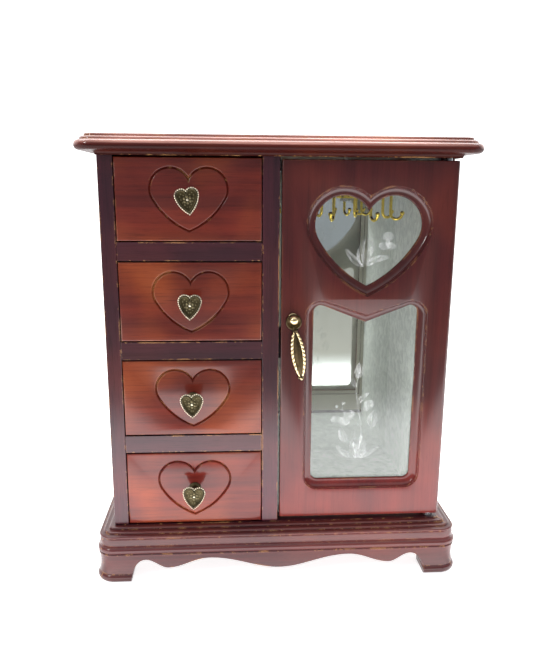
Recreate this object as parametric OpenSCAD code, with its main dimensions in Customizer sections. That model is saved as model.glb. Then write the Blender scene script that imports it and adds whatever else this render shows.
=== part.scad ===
// Jewellery chest: a fixed top, four drawers on the left, and on the right a mirrored
// compartment with a necklace carousel behind a glazed door.
// The floor is z = 0, the front faces -Y, and the origin is under the middle of the chest.

/* [Case] */
// Width over the two side panels
case_w = 270; // [230:1:330]
// Depth from the front faces to the back of the back panel
case_d = 153; // [120:1:200]
// Height from the top of the base to the underside of the top board
case_h = 296.4; // [240:0.2:360]
// Thickness of each side panel
side_t = 11.4; // [8:0.2:14]
// Thickness of the partition between drawers and compartment
partition_t = 12.9; // [8:0.1:16]
// Thickness of the back panel
back_t = 4; // [3:0.5:8]
// Thickness of the mirror
mirror_t = 2.5; // [2:0.1:4]
// Thickness of the felt in the compartment
felt_t = 1.5; // [1:0.1:2.5]

/* [Base] */
// Height of the base
base_h = 44.6; // [38:0.2:60]
// How far the toe of the base stands out past the case
base_out = 15.3; // [14:0.1:20]
// Thickness of the base boards inside the line of the case
base_in = 9; // [6:0.5:14]
// Thickness of the board that closes the case at the bottom
floor_t = 8.6; // [7.6:0.2:14]
// Width of each front foot, measured from the toe
foot_w = 29; // [24:0.5:40]
// Height of the cut between foot and apron
arch_h = 19.5; // [14:0.5:22]
// Height of the low points of the apron beside the feet
dip_h = 12; // [8:0.5:16]
// Height of the drop in the middle of the apron
drop_h = 10; // [6:0.5:16]

/* [Top board] */
// Thickness of the top board with its raised step
top_t = 11.6; // [10:0.2:18]
// How far the nosing stands out past the case
top_out = 15.5; // [13:0.5:22]
// How far the top board stands out behind
top_back = 2; // [0.5:0.5:8]
// Thickness of the rounded nosing
nosing_t = 7.4; // [5:0.2:9]
// Height of the small cove under the overhang
cove_h = 3; // [2:0.2:6]

/* [Drawers] */
// Width of the opening for the drawers
bay_w = 109.4; // [90:0.2:130]
// Height of the rails between the drawers
rail_h = 14; // [8:0.5:20]
// Depth of the rails from front to back
rail_d = 18; // [12:1:30]
// Thickness of the drawer fronts
front_t = 12; // [9:0.5:16]
// Thickness of the drawer sides and backs
box_t = 5; // [4:0.5:8]
// Free depth behind a closed drawer box
behind_gap = 11; // [4:1:40]
// How far the drawer sides stop short of the top of the front
side_drop = 15; // [8:0.5:24]
// Thickness of the drawer bottoms
tray_t = 3; // [2:0.5:5]
// Height of the drawer bottom above the lower edge of its sides
tray_z = 3; // [2:0.5:6]
// Thickness of the felt pad in a drawer
pad_t = 2; // [1:0.5:4]
// Thickness of the dust panels behind the rails
dust_t = 4; // [3:0.5:8]
// Gap at each side of a drawer front
front_gap = 0.5; // [0.3:0.1:1]
// Gap at each side of a drawer box
box_gap = 1; // [0.5:0.1:2]
// Gap under a drawer
under_gap = 0.8; // [0.4:0.1:1.5]
// Gap over a drawer
over_gap = 1; // [0.5:0.1:2]
// Wood above and below the heart groove on a drawer front
groove_margin = 6.7; // [4:0.1:12]
// Width of that groove
groove_w = 1.4; // [1:0.1:2.5]
// Depth of that groove
groove_d = 1.2; // [0.6:0.1:2]

/* [Knobs] */
// Height of a heart knob
knob_h = 20; // [16:0.5:26]
// How far a knob stands out from its drawer
knob_out = 18; // [17:0.5:28]
// Thickness of the heart plate
knob_t = 3.4; // [2:0.2:5]
// Diameter of the knob's post
post_d = 6; // [5:0.2:9]
// Diameter of the knob's screw
screw_d = 3; // [2:0.1:4]

/* [Door] */
// Thickness of the door
door_t = 14; // [12.5:0.5:18]
// Gap between the door and the partition
door_gap = 1.6; // [1:0.1:3]
// Gap under the door
sill_gap = 3.6; // [1:0.1:6]
// Gap over the door, under the cove
head_gap = 1.8; // [1:0.1:4]
// Gap behind the door
rear_gap = 1.5; // [1.2:0.1:3]
// Wood beside and over the openings
stile_w = 26; // [22:0.5:34]
// Wood under the lower opening
foot_rail = 31.2; // [24:0.2:40]
// Height of the heart opening
heart_h = 69; // [56:0.5:76]
// Wood between the heart's point and the notch below it
bridge_h = 28.8; // [20:0.2:36]
// Depth of the notch in the lower opening
notch_h = 16; // [8:0.5:24]
// Width of the moulded edge around the openings
edge_w = 7; // [4:0.5:9]
// Depth of that moulded edge
edge_d = 3; // [1:0.2:4.4]
// Thickness of wood in front of the glass
lip_t = 7; // [5:0.5:8]
// Thickness of the glass
glass_t = 2; // [1.6:0.2:3]
// Overlap of the glass behind the wood
glass_lap = 10; // [8:0.5:11]
// Width of the beads that hold the glass
bead_w = 5; // [3:0.5:7]
// Diameter of the two pivot pins
pivot_d = 4; // [3:0.2:5]
// Depth of the pivot pins in the door
pivot_in = 8; // [6:0.5:14]

/* [Door pull] */
// Length of the pull below its pin
pull_len = 50; // [40:1:60]
// Width of its leaf-shaped grip
pull_w = 9.6; // [7:0.2:13]
// Thickness of the grip
pull_t = 4; // [3:0.2:6]
// Tilt at which the pull hangs
pull_tilt = 8.3; // [0:0.1:10]
// Diameter of the eye of the pull
eye_d = 12.4; // [10:0.2:15]
// Diameter of the pin
pin_d = 3; // [2:0.1:4]
// Diameter of the pin's ball head
ball_d = 7.2; // [6:0.2:9]

/* [Carousel] */
// Number of necklace hooks
hooks = 8; // [4:1:12]
// Gap between the hooks and the nearest wall of the compartment
hook_gap = 10.5; // [6:0.1:24]
// Thickness of the hook wire
wire_d = 2.6; // [1.6:0.1:3]
// Radius of a hook's bend
bend_r = 5; // [3:0.5:6]
// Diameter of the carousel's spindle
spindle_d = 4; // [3:0.2:6]

/* [Hidden] */
$fn = 48;
drawer_count = 4;
run_fit = 0.06;            // radial clearance of a running fit
end_play = 0.2;            // play along an axle
pin_seat = 6;              // depth of the pins in the top and bottom boards
mahogany = "#6b2a24";
plum = "#4a2632";
raw_wood = "#c9a372";
felt = "#b9b9b4";
gold = "#d8a93a";
old_brass = "#8f8468";

half_w = case_w / 2;
face_y = (knob_out - case_d - top_back) / 2;   // places the middle of the whole depth at y = 0
case_top = base_h + case_h;
bay_x0 = -half_w + side_t;
bay_x1 = bay_x0 + bay_w;
bay_top = case_top - cove_h;
room_x0 = bay_x1 + partition_t;
room_x1 = half_w - side_t;
room_y0 = door_t + rear_gap;
inner_d = case_d - back_t;

step_z = (bay_top - base_h + rail_h) / drawer_count;
drawer_h = step_z - rail_h - under_gap - over_gap;
box_d = inner_d - front_t - behind_gap;
box_h = drawer_h - side_drop;
drawer_x = (bay_x0 + bay_x1) / 2;
box_x0 = bay_x0 + box_gap;
box_x1 = bay_x1 - box_gap;
groove_h = drawer_h - 2 * groove_margin;
groove_lobe = groove_h * 0.285;
groove_round = groove_h * 0.333;
knob_lobe = knob_h * 0.19;
knob_round = knob_h * 0.2725;
flange_t = 1.5;
knob_rim = 1.3;
post_z = knob_h * 0.55;
knob_ease = 16;

door_x0 = room_x0 + door_gap;
door_mid = (door_x0 + half_w) / 2;
door_z0 = base_h + sill_gap;
door_z1 = bay_top - head_gap;
pivot_x = half_w - door_t / 2;
pivot_y = door_t / 2;
edge_round = door_t / 4;
open_half = half_w - stile_w - door_mid;
heart_lobe = open_half * 0.47;
heart_round = open_half - heart_lobe;
heart_z = door_z1 - stile_w - heart_h;
notch_z = heart_z - bridge_h;
low_z = door_z0 + foot_rail;
corner_r = 5.5;

glass_half = open_half + glass_lap;
glass_z0 = low_z - glass_lap;
glass_z1 = heart_z + heart_h + glass_lap;
glass_play = 0.5;

pull_x = door_x0 + 9.4;
pull_z = base_h + case_h * 0.58;
eye_t = 2.4;
collar_d = 5;
eye_y = -1.6;              // back of the pull's eye, in front of the door

room_mid_x = (room_x0 + room_x1) / 2;
room_mid_y = (room_y0 + inner_d - mirror_t) / 2;
room_half = min(room_x1 - room_x0, inner_d - mirror_t - room_y0) / 2;
hook_ball = wire_d * 1.5;
stem_ring = room_half - hook_gap - 2 * bend_r - hook_ball / 2;
hub_z = case_top - 34;
hub_h = 12;
hub_r = 8;
arm_z = hub_z + hub_h - 5;
stem_z = arm_z - 19;

catch_w = 11;
catch_d = 12;
catch_h = 24;
catch_z = base_h + case_h * 0.5;
strike_t = 0.8;
strike_w = 8;

// ---- outlines ----

function arc(x, y, r, from, to, n = 8) =
    [for (i = [0:n]) let (t = from + (to - from) * i / n) [x + r * cos(t), y + r * sin(t)]];

function reversed(list) = [for (i = [len(list) - 1:-1:0]) list[i]];

// A heart with its point at the origin. Each lobe is an arc of radius round about
// (lobe, h - round), and the lower sides are wider arcs that leave it smoothly.
// ease is the angle at which a lobe runs into its lower side: the smaller, the fuller the
// heart. grow moves the whole outline outwards.
function heart(lobe, round, h, grow = 0, ease = 30) =
    let (
        b = h - round,
        k = (lobe * lobe + b * b - round * round)
            / (2 * (round + lobe * cos(ease) - b * sin(ease))),
        cx = lobe - k * cos(ease),
        cy = b + k * sin(ease),
        small = round + grow,
        wide = round + k + grow,
        right = concat(
            arc(lobe, b, small, acos(-lobe / small), -ease, 14),
            [for (p = arc(cx, cy, wide, -ease, -acos(-cx / wide), 9)) if (p.y < b - small * sin(ease)) p]
        ),
        last = len(right) - 1
    )
    concat(
        [[0, right[0].y]],
        [for (i = [1:last - 1]) right[i]],
        [[0, right[last].y]],
        [for (i = [last - 1:-1:1]) [-right[i].x, right[i].y]]
    );

function unit(v) = v / norm(v);

// An arc of radius r in the corner at p, between the neighbouring corners a and b.
function rounded_corner(p, a, b, r) =
    let (
        u = unit(a - p),
        v = unit(b - p),
        half = acos(u * v) / 2,
        start = p + u * r / tan(half),
        end = p + v * r / tan(half),
        c = p + unit(u + v) * r / sin(half),
        from = atan2(start.y - c.y, start.x - c.x),
        to = atan2(end.y - c.y, end.x - c.x),
        turn = (to - from + 540) % 360 - 180
    )
    arc(c.x, c.y, r, from, from + turn, 6);

// The lower opening of the door, with a notch in its top edge.
function window(grow = 0) =
    let (
        w = open_half + grow,
        r = corner_r + grow,
        z0 = low_z - grow,
        z1 = notch_z + notch_h + grow,
        low_left = [-w, z0],
        low_right = [w, z0],
        top_right = [w, z1],
        top_left = [-w, z1],
        middle = [0, notch_z + grow]
    )
    concat(
        rounded_corner(low_left, top_left, low_right, r),
        rounded_corner(low_right, low_left, top_right, r),
        rounded_corner(top_right, low_right, middle, r),
        [middle],
        rounded_corner(top_left, middle, low_left, r)
    );

// Height of a smooth wave through the stations [place, height] at place x.
function wave(stations, x, i = 0) =
    i >= len(stations) - 2 || x < stations[i + 1].x
    ? let (t = (x - stations[i].x) / (stations[i + 1].x - stations[i].x))
      stations[i].y + (stations[i + 1].y - stations[i].y) * (1 - cos(180 * t)) / 2
    : wave(stations, x, i + 1);

// Half of the cut under an apron: an upright rise from the foot, then a wave to the middle.
function apron_half(stations, n) =
    let (first = stations[0], last = stations[len(stations) - 1])
    concat(
        [for (i = [0:7]) [first.x * (1 - cos(90 * i / 7)), first.y * sin(90 * i / 7)]],
        [for (i = [1:n]) let (x = first.x + (last.x - first.x) * i / n) [x, wave(stations, x)]]
    );

// The whole cut, as wide as 2 * reach, with its middle at x = 0.
module apron_cut(stations, n) {
    reach = stations[len(stations) - 1].x;
    half = [for (p = apron_half(stations, n)) [p.x - reach, p.y]];
    mirrored = [for (i = [len(half) - 2:-1:0]) [-half[i].x, half[i].y]];
    polygon(concat([[-reach, -1]], half, mirrored, [[reach, -1]]));
}

// The moulded face of the base: x is how far it stands out, y is its height. From the
// floor up it has a round toe, a hollow waist, a torus, a fillet and three stepped beads.
toe_r = 4;
torus_r = 3.3;
torus_z = base_h - 17;
bead_r = 1.3;
waist = base_out - 2.6;
waist_low = toe_r * 1.9;
waist_high = torus_z - torus_r;
function waist_x(t) = waist + 1.1 * pow(2 * t - 1, 2);
base_face = concat(
    [[0, 0]],
    arc(base_out - toe_r, toe_r, toe_r, -90, 55, 8),
    [for (i = [0:6]) [waist_x(i / 6), waist_low + (waist_high - waist_low) * i / 6]],
    arc(base_out - 1.1 - torus_r, torus_z, torus_r, -50, 60, 8),
    [for (p = [[3.3, 12.9], [2.8, 10.6], [3.2, 7.6]]) [base_out - p.x, base_h - p.y]],
    arc(base_out - 4.1, base_h - 5.6, bead_r, -60, 120, 6),
    arc(base_out - 7.7, base_h - 3.6, bead_r, -20, 120, 5),
    arc(base_out - 12, base_h - 1.7, bead_r, -20, 90, 5),
    [[0, base_h - 1.7 + bead_r]]
);

// The moulded edge of the top board: a nosing, a rounded step and a small fillet.
nosing_r = nosing_t / 2;
top_face = concat(
    [[-1, 0]],
    arc(top_out - nosing_r, nosing_r, nosing_r, -90, 90, 10),
    arc(top_out - 6.2, nosing_t, top_t - nosing_t - 2, 0, 90, 5),
    [[top_out - 7.4, top_t - 2], [top_out - 7.8, top_t], [-1, top_t]]
);
cove_face = concat([[-1, 0], [-1, -cove_h], [1, -cove_h]],
    arc(1 + cove_h, -cove_h, cove_h, 180, 90, 5), [[1 + cove_h, 0]]);

// ---- placing ----

// Moves a piece from the plane of the front faces into the chest's own frame.
module chest() {
    translate([0, face_y, 0]) children();
}

// Extrudes an upright outline (x, z) from y = y0 towards the back.
module upright(y0, depth) {
    translate([0, y0 + depth, 0]) rotate([90, 0, 0]) linear_extrude(depth) children();
}

module board(x0, x1, y0, y1, z0, z1) {
    translate([x0, y0, z0]) cube([x1 - x0, y1 - y0, z1 - z0]);
}

// A rod along Y.
module rod(x, y0, y1, z, d) {
    translate([x, y1, z]) rotate([90, 0, 0]) cylinder(d = d, h = y1 - y0);
}

// A moulding along the front edge of the case.
module front_run() {
    translate([-half_w, 0, 0]) rotate([90, 0, 90]) linear_extrude(case_w) mirror([1, 0]) children();
}

// A moulding along the left side of the case, as long as length.
module left_run(length) {
    translate([-half_w, length, 0]) rotate([90, 0, 0]) linear_extrude(length) mirror([1, 0]) children();
}

// A moulding turned a quarter about the front left corner of the case.
module left_corner() {
    translate([-half_w, 0, 0]) rotate([0, 0, 180]) rotate_extrude(angle = 90) children();
}

// ---- case ----

module side_panel_left() color(plum) chest()
    board(-half_w, bay_x0, 0, inner_d, base_h, case_top);

module side_panel_right() color(plum) chest()
    board(room_x1, half_w, room_y0, inner_d, base_h, case_top);

module partition() color(plum) chest()
    board(bay_x1, room_x0, 0, inner_d, base_h, case_top);

module back_panel() color(raw_wood) chest()
    board(-half_w, half_w, inner_d, case_d, base_h, case_top);

module bottom_board() color(plum) chest() difference() {
    board(-half_w, half_w, 0, case_d, base_h - floor_t, base_h);
    translate([pivot_x, pivot_y, base_h - pin_seat]) cylinder(d = pivot_d, h = pin_seat + 1);
}

module top_board() color(mahogany) chest() difference() {
    union() {
        board(-half_w, half_w, 0, case_d + top_back, case_top, case_top + top_t);
        translate([0, 0, case_top]) {
            front_run() polygon(top_face);
            front_run() polygon(cove_face);
            for (side = [0, 1]) mirror([side, 0, 0]) {
                left_run(case_d + top_back) polygon(top_face);
                left_run(inner_d) polygon(cove_face);
                left_corner() intersection() {
                    union() {
                        polygon(top_face);
                        polygon(cove_face);
                    }
                    translate([0, -cove_h]) square([top_out, top_t + cove_h]);
                }
            }
        }
    }
    board(-half_w, half_w, 0, inner_d, case_top - cove_h - 1, case_top);
    translate([pivot_x, pivot_y, case_top - 1]) cylinder(d = pivot_d, h = pin_seat + 1);
    translate([room_mid_x, room_mid_y, case_top - 1]) cylinder(d = spindle_d, h = pin_seat + 1);
}

// ---- base ----

apron_reach = half_w + base_out - foot_w;
side_reach = (case_d + base_out - 2 * foot_w + 7) / 2;
side_mid = (foot_w - base_out) + side_reach;
front_wave = [[12, arch_h], [30, dip_h], [64, arch_h + 0.5], [apron_reach, drop_h]];
side_wave = [[12, arch_h], [side_reach, drop_h + 3]];

// The plan of a base board between its mitres, which run out through the case's corners.
mitre_out = base_out + 1;
module mitred(plan) {
    intersection() {
        union() children();
        linear_extrude(base_h) polygon(plan);
    }
}

module plinth_front() color(mahogany) chest() difference() {
    mitred([
        [-half_w - mitre_out, -mitre_out], [half_w + mitre_out, -mitre_out],
        [half_w - base_in, base_in], [-half_w + base_in, base_in]
    ]) {
        front_run() polygon(base_face);
        for (side = [0, 1]) mirror([side, 0, 0]) left_corner() polygon(base_face);
        board(-half_w, half_w, 0, base_in, 0, base_h - floor_t);
    }
    upright(-base_out - 1, base_out + base_in + 2) apron_cut(front_wave, 40);
}

module plinth_left() color(mahogany) chest() difference() {
    mitred([
        [-half_w - mitre_out, -mitre_out], [-half_w + base_in, base_in],
        [-half_w + base_in, case_d], [-half_w - mitre_out, case_d]
    ]) {
        left_run(case_d) polygon(base_face);
        left_corner() polygon(base_face);
        board(-half_w, -half_w + base_in, 0, case_d, 0, base_h - floor_t);
    }
    translate([-half_w, side_mid, 0]) rotate([0, 0, 90])
        upright(-base_in - 1, base_out + base_in + 2) apron_cut(side_wave, 16);
}

module plinth_right() mirror([1, 0, 0]) plinth_left();

module plinth_back() color(mahogany) chest() difference() {
    board(-half_w + base_in, half_w - base_in, case_d - base_in, case_d, 0, base_h - floor_t);
    upright(case_d - base_in - 1, base_in + 2) apron_cut([[12, arch_h], [apron_reach, arch_h]], 6);
}

// ---- drawer bay ----

function drawer_z(k) = base_h + under_gap + (drawer_count - k) * step_z;

module drawer_rail(k) color(plum) chest()
    board(bay_x0, bay_x1, 0, rail_d, drawer_z(k) - under_gap - rail_h, drawer_z(k) - under_gap);

module dust_panel(k) color(raw_wood) chest()
    board(bay_x0, bay_x1, rail_d, inner_d, drawer_z(k) - under_gap - dust_t, drawer_z(k) - under_gap);

module drawer_front(k) color(mahogany) chest() difference() {
    board(bay_x0 + front_gap, bay_x1 - front_gap, 0, front_t, drawer_z(k), drawer_z(k) + drawer_h);
    translate([drawer_x, 0, drawer_z(k) + (drawer_h - groove_h) / 2]) difference() {
        upright(-1, groove_d + 1) polygon(heart(groove_lobe, groove_round, groove_h));
        upright(-2, groove_d + 3) polygon(heart(groove_lobe, groove_round, groove_h, -groove_w));
    }
    rod(drawer_x, -1, front_t + 1, drawer_z(k) + drawer_h / 2, screw_d);
}

module drawer_side(k, x) color(raw_wood) chest()
    board(x, x + box_t, front_t, front_t + box_d, drawer_z(k), drawer_z(k) + box_h);

module drawer_back(k) color(raw_wood) chest()
    board(box_x0 + box_t, box_x1 - box_t, front_t + box_d - box_t, front_t + box_d,
        drawer_z(k), drawer_z(k) + box_h);

module drawer_bottom(k) color(raw_wood) chest()
    board(box_x0 + box_t, box_x1 - box_t, front_t, front_t + box_d - box_t,
        drawer_z(k) + tray_z, drawer_z(k) + tray_z + tray_t);

module drawer_lining(k) color(felt) chest()
    board(box_x0 + box_t, box_x1 - box_t, front_t, front_t + box_d - box_t,
        drawer_z(k) + tray_z + tray_t, drawer_z(k) + tray_z + tray_t + pad_t);

module knob_outline(grow) {
    polygon(heart(knob_lobe, knob_round, knob_h, grow, knob_ease));
}

module drawer_knob(k) color(old_brass) chest()
    translate([drawer_x, 0, drawer_z(k) + drawer_h / 2]) difference() {
        union() {
            translate([0, 0, -post_z]) {
                difference() {
                    upright(-knob_out, knob_t) knob_outline(0);
                    upright(-knob_out - 1, 2) knob_outline(-knob_rim);
                }
            }
            rod(0, -knob_out + knob_t, 0, 0, post_d);
            rod(0, -flange_t, 0, 0, post_d + 4);
        }
        rod(0, -knob_out / 2, 1, 0, screw_d);
    }

module drawer_knob_screw(k) color("silver") chest()
    translate([drawer_x, 0, drawer_z(k) + drawer_h / 2]) {
        rod(0, -knob_out / 2, front_t, 0, screw_d);
        rod(0, front_t, front_t + 2, 0, screw_d * 2.2);
    }

// ---- door ----

module openings(grow) {
    translate([0, heart_z]) polygon(heart(heart_lobe, heart_round, heart_h, grow));
    polygon(window(grow));
}

module door_panel() color(plum) chest() difference() {
    translate([0, 0, door_z0]) linear_extrude(door_z1 - door_z0) polygon(concat(
        [[door_x0, 0]],
        arc(half_w - edge_round, edge_round, edge_round, -90, 0, 5),
        arc(pivot_x, pivot_y, door_t / 2, 0, 90, 8),
        [[door_x0, door_t]]
    ));
    translate([door_mid, 0, 0]) {
        upright(-1, door_t + 2) openings(0);
        upright(-1, edge_d + 1) openings(edge_w);
    }
    board(door_mid - glass_half, door_mid + glass_half, lip_t, door_t + 1, glass_z0, glass_z1);
    for (z = [door_z0 - 1, door_z1 - pivot_in]) translate([pivot_x, pivot_y, z])
        cylinder(d = pivot_d + 2 * run_fit, h = pivot_in + 1);
    rod(pull_x, -1, door_t / 2, pull_z, pin_d);
}

module door_glass() color("lightblue", 0.4) chest()
    board(door_mid - glass_half + glass_play, door_mid + glass_half - glass_play,
        lip_t, lip_t + glass_t, glass_z0 + glass_play, glass_z1 - glass_play);

module glazing_beads() color(mahogany) chest() {
    y0 = lip_t + glass_t;
    for (x = [door_mid - glass_half, door_mid + glass_half - bead_w])
        board(x, x + bead_w, y0, door_t - 1, glass_z0, glass_z1);
    for (z = [glass_z0, glass_z1 - bead_w])
        board(door_mid - glass_half + bead_w, door_mid + glass_half - bead_w, y0, door_t - 1, z, z + bead_w);
}

// Two pins on which the door turns: one stands in the bottom board, with a collar that
// carries the door, and one hangs from the top board.
module door_pivots() color("silver") chest() translate([pivot_x, pivot_y, 0]) {
    translate([0, 0, base_h - pin_seat]) cylinder(d = pivot_d, h = pin_seat + sill_gap + pivot_in - end_play);
    translate([0, 0, base_h]) cylinder(d = pivot_d * 2, h = sill_gap - end_play);
    translate([0, 0, door_z1 - pivot_in + end_play])
        cylinder(d = pivot_d, h = case_top + pin_seat - door_z1 + pivot_in - end_play);
}

module catch_magnet() color("dimgray") chest()
    board(room_x0, room_x0 + catch_w, door_t + strike_t + end_play, door_t + strike_t + end_play + catch_d,
        catch_z - catch_h / 2, catch_z + catch_h / 2);

module strike_plate() color("silver") chest()
    board(door_x0 + 1, door_x0 + 1 + strike_w, door_t, door_t + strike_t,
        catch_z - catch_h / 2 + 2, catch_z + catch_h / 2 - 2);

module pull_pin() color(gold) chest() {
    rod(pull_x, eye_y - eye_t - end_play, door_t / 2, pull_z, pin_d);
    rod(pull_x, eye_y + end_play, 0, pull_z, eye_d * 0.7);
    translate([pull_x, eye_y - eye_t - end_play - ball_d * 0.4, pull_z]) sphere(d = ball_d);
}

// The pull hangs from its pin: a dished eye, a collar, a leaf-shaped grip and a finial.
module door_pull() color(old_brass) chest()
    translate([pull_x, 0, pull_z]) rotate([0, -pull_tilt, 0]) {
        eye_drop = eye_d * 0.19;
        grip_top = -eye_drop - eye_d / 2 - 1;
        finial = 2.3;
        grip_len = pull_len + grip_top - 2 * finial + 1.5;
        grip_mid = grip_top - grip_len / 2;
        bow = (grip_len * grip_len + pull_w * pull_w) / (4 * pull_w);
        mid_y = eye_y - eye_t / 2;
        difference() {
            union() {
                rod(0, eye_y - eye_t, eye_y, -eye_drop, eye_d);
                translate([0, mid_y, grip_top - 0.4]) cylinder(d = collar_d - 1, h = 3);
                translate([0, mid_y, grip_top - 0.2]) cylinder(d = collar_d, h = 1.4);
                intersection() {
                    rod(bow - pull_w / 2, mid_y - pull_t / 2, mid_y + pull_t / 2, grip_mid, 2 * bow);
                    rod(pull_w / 2 - bow, mid_y - pull_t / 2, mid_y + pull_t / 2, grip_mid, 2 * bow);
                }
                translate([0, mid_y, grip_top - grip_len - finial + 1.5]) sphere(r = finial);
            }
            rod(0, eye_y - eye_t - 1, eye_y - eye_t + 1, -eye_drop, eye_d - 3);
            rod(0, eye_y - eye_t - 1, eye_y + 1, 0, pin_d + 2 * run_fit);
        }
    }

// ---- compartment ----

module mirror_plate() color("lightgray") chest()
    board(room_x0 + felt_t, room_x1 - felt_t, inner_d - mirror_t, inner_d, base_h + felt_t, case_top);

module compartment_lining() color(felt) chest() {
    catch_y = door_t + strike_t + end_play + catch_d;
    board(room_x0, room_x0 + felt_t, catch_y, inner_d, base_h, case_top);
    board(room_x1 - felt_t, room_x1, room_y0, inner_d, base_h, case_top);
    board(room_x0 + felt_t, room_x1 - felt_t, room_y0, inner_d, base_h, base_h + felt_t);
}

module carousel_spindle() color("silver") chest() translate([room_mid_x, room_mid_y, 0]) {
    translate([0, 0, hub_z - end_play]) cylinder(d = spindle_d, h = case_top + pin_seat - hub_z + end_play);
    translate([0, 0, hub_z - end_play - 2.4]) cylinder(d = spindle_d * 2.4, h = 2.4);
}

// One necklace hook: an arm from the hub, a stem, and a bend that ends in a small ball.
module hook() {
    translate([hub_r / 2, 0, arm_z]) rotate([0, 90, 0]) cylinder(d = wire_d, h = stem_ring - hub_r / 2);
    translate([stem_ring, 0, stem_z]) cylinder(d = wire_d, h = arm_z - stem_z);
    translate([stem_ring, 0, arm_z]) sphere(d = wire_d);
    translate([stem_ring + bend_r, 0, stem_z]) rotate([90, 0, 0]) rotate([0, 0, 180])
        rotate_extrude(angle = 180) translate([bend_r, 0]) circle(d = wire_d);
    translate([stem_ring + 2 * bend_r, 0, stem_z]) sphere(d = hook_ball);
}

module carousel() color(gold) chest() translate([room_mid_x, room_mid_y, 0]) difference() {
    union() {
        translate([0, 0, hub_z]) cylinder(r = hub_r, h = hub_h);
        translate([0, 0, hub_z + hub_h - 2]) cylinder(r = hub_r * 2.2, h = 2);
        for (i = [0:hooks - 1]) rotate([0, 0, (i + 0.5) * 360 / hooks]) hook();
    }
    translate([0, 0, hub_z - 1]) cylinder(d = spindle_d + 2 * run_fit, h = hub_h + 2);
}

// ---- nodes ----

side_panel_left();
side_panel_right();
partition();
back_panel();
bottom_board();
top_board();
plinth_front();
plinth_left();
plinth_right();
plinth_back();
mirror_plate();  // mirror
compartment_lining();
carousel_spindle();
catch_magnet();
door_pivots();
carousel();
door_panel();
door_glass();
glazing_beads();
strike_plate();
pull_pin();
door_pull();
for (k = [1:drawer_count - 1]) {
    drawer_rail(k);
    dust_panel(k);
}
for (k = [1:drawer_count]) {
    drawer_front(k);
    drawer_side(k, box_x0);
    drawer_side(k, box_x1 - box_t);
    drawer_back(k);
    drawer_bottom(k);
    drawer_lining(k);
    drawer_knob(k);
    drawer_knob_screw(k);
}
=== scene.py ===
from math import acos, atan2, cos, degrees, pi, radians, sin, tan

import bmesh
import bpy
from mathutils import Matrix, Vector
from mathutils.geometry import tessellate_polygon


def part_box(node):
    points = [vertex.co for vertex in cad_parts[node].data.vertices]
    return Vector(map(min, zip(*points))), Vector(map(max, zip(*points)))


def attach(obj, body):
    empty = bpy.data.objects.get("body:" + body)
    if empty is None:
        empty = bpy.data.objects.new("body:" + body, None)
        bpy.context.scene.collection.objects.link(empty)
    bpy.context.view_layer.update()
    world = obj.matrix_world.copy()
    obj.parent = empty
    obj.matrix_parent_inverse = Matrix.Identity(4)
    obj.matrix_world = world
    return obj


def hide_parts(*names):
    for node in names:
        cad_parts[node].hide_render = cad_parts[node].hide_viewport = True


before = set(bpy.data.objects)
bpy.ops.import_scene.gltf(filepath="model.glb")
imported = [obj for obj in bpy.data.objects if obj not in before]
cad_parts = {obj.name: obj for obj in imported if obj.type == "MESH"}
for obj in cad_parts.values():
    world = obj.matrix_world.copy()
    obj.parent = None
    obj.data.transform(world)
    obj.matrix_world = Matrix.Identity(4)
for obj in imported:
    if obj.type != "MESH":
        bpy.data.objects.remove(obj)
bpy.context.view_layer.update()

MM = 0.001
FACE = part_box("partition")[0].y / MM
OUT, UP = (0, -1, 0), (0, 0, 1)


def cad(node):
    """The corners of a CAD node in mm, with y measured from the plane of the front faces."""
    low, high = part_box(node)
    shift = Vector((0, FACE, 0))
    return low / MM - shift, high / MM - shift


# -------- places from the CAD model
HALF = cad("side_panel_right")[1].x
CASE_TOP = cad("partition")[1].z
BASE_H = cad("partition")[0].z
CASE_BACK = cad("back_panel")[1].y
INNER_BACK = cad("back_panel")[0].y
TOP_LOW, TOP_HIGH = cad("top_board")
DOOR_LOW, DOOR_HIGH = cad("door_panel")
GLASS_LOW, GLASS_HIGH = cad("door_glass")


def placed(name, data):
    """A new object in the scene."""
    obj = bpy.data.objects.new(name, data)
    bpy.context.scene.collection.objects.link(obj)
    return obj


# -------- outlines
def arc(x, y, radius, start, end, steps=8):
    points = []
    for i in range(steps + 1):
        t = radians(start + (end - start) * i / steps)
        points.append((x + radius * cos(t), y + radius * sin(t)))
    return points


def heart(lobe, round_, height, grow=0.0, fine=2, turn_in=30):
    """A heart with its point at the origin, grown outwards by grow."""
    ease = radians(turn_in)
    b = height - round_
    k = (lobe**2 + b**2 - round_**2) / (2 * (round_ + lobe * cos(ease) - b * sin(ease)))
    cx, cy = lobe - k * cos(ease), b + k * sin(ease)
    small, wide = round_ + grow, round_ + k + grow
    start = degrees(acos(max(-1.0, -lobe / small)))
    end = -degrees(acos(-cx / wide))
    right = arc(lobe, b, small, start, -turn_in, 14 * fine)
    right += arc(cx, cy, wide, -turn_in, end, 9 * fine)[1:]
    right[0] = (0.0, right[0][1])
    right[-1] = (0.0, right[-1][1])
    return right + [(-x, y) for x, y in reversed(right[1:-1])]


def corner(p, a, b, radius):
    """An arc that rounds the corner p between the points a and b."""
    p, a, b = Vector(p), Vector(a), Vector(b)
    u, v = (a - p).normalized(), (b - p).normalized()
    half = acos(u.dot(v)) / 2
    centre = p + (u + v).normalized() * radius / sin(half)
    start = p + u * radius / tan(half) - centre
    end = p + v * radius / tan(half) - centre
    t0 = degrees(atan2(start.y, start.x))
    t1 = degrees(atan2(end.y, end.x))
    turn = (t1 - t0 + 540) % 360 - 180
    return arc(centre.x, centre.y, radius, t0, t0 + turn)


def box_loop(x0, x1, z0, z1):
    return [(x0, z0), (x1, z0), (x1, z1), (x0, z1)]


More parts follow.
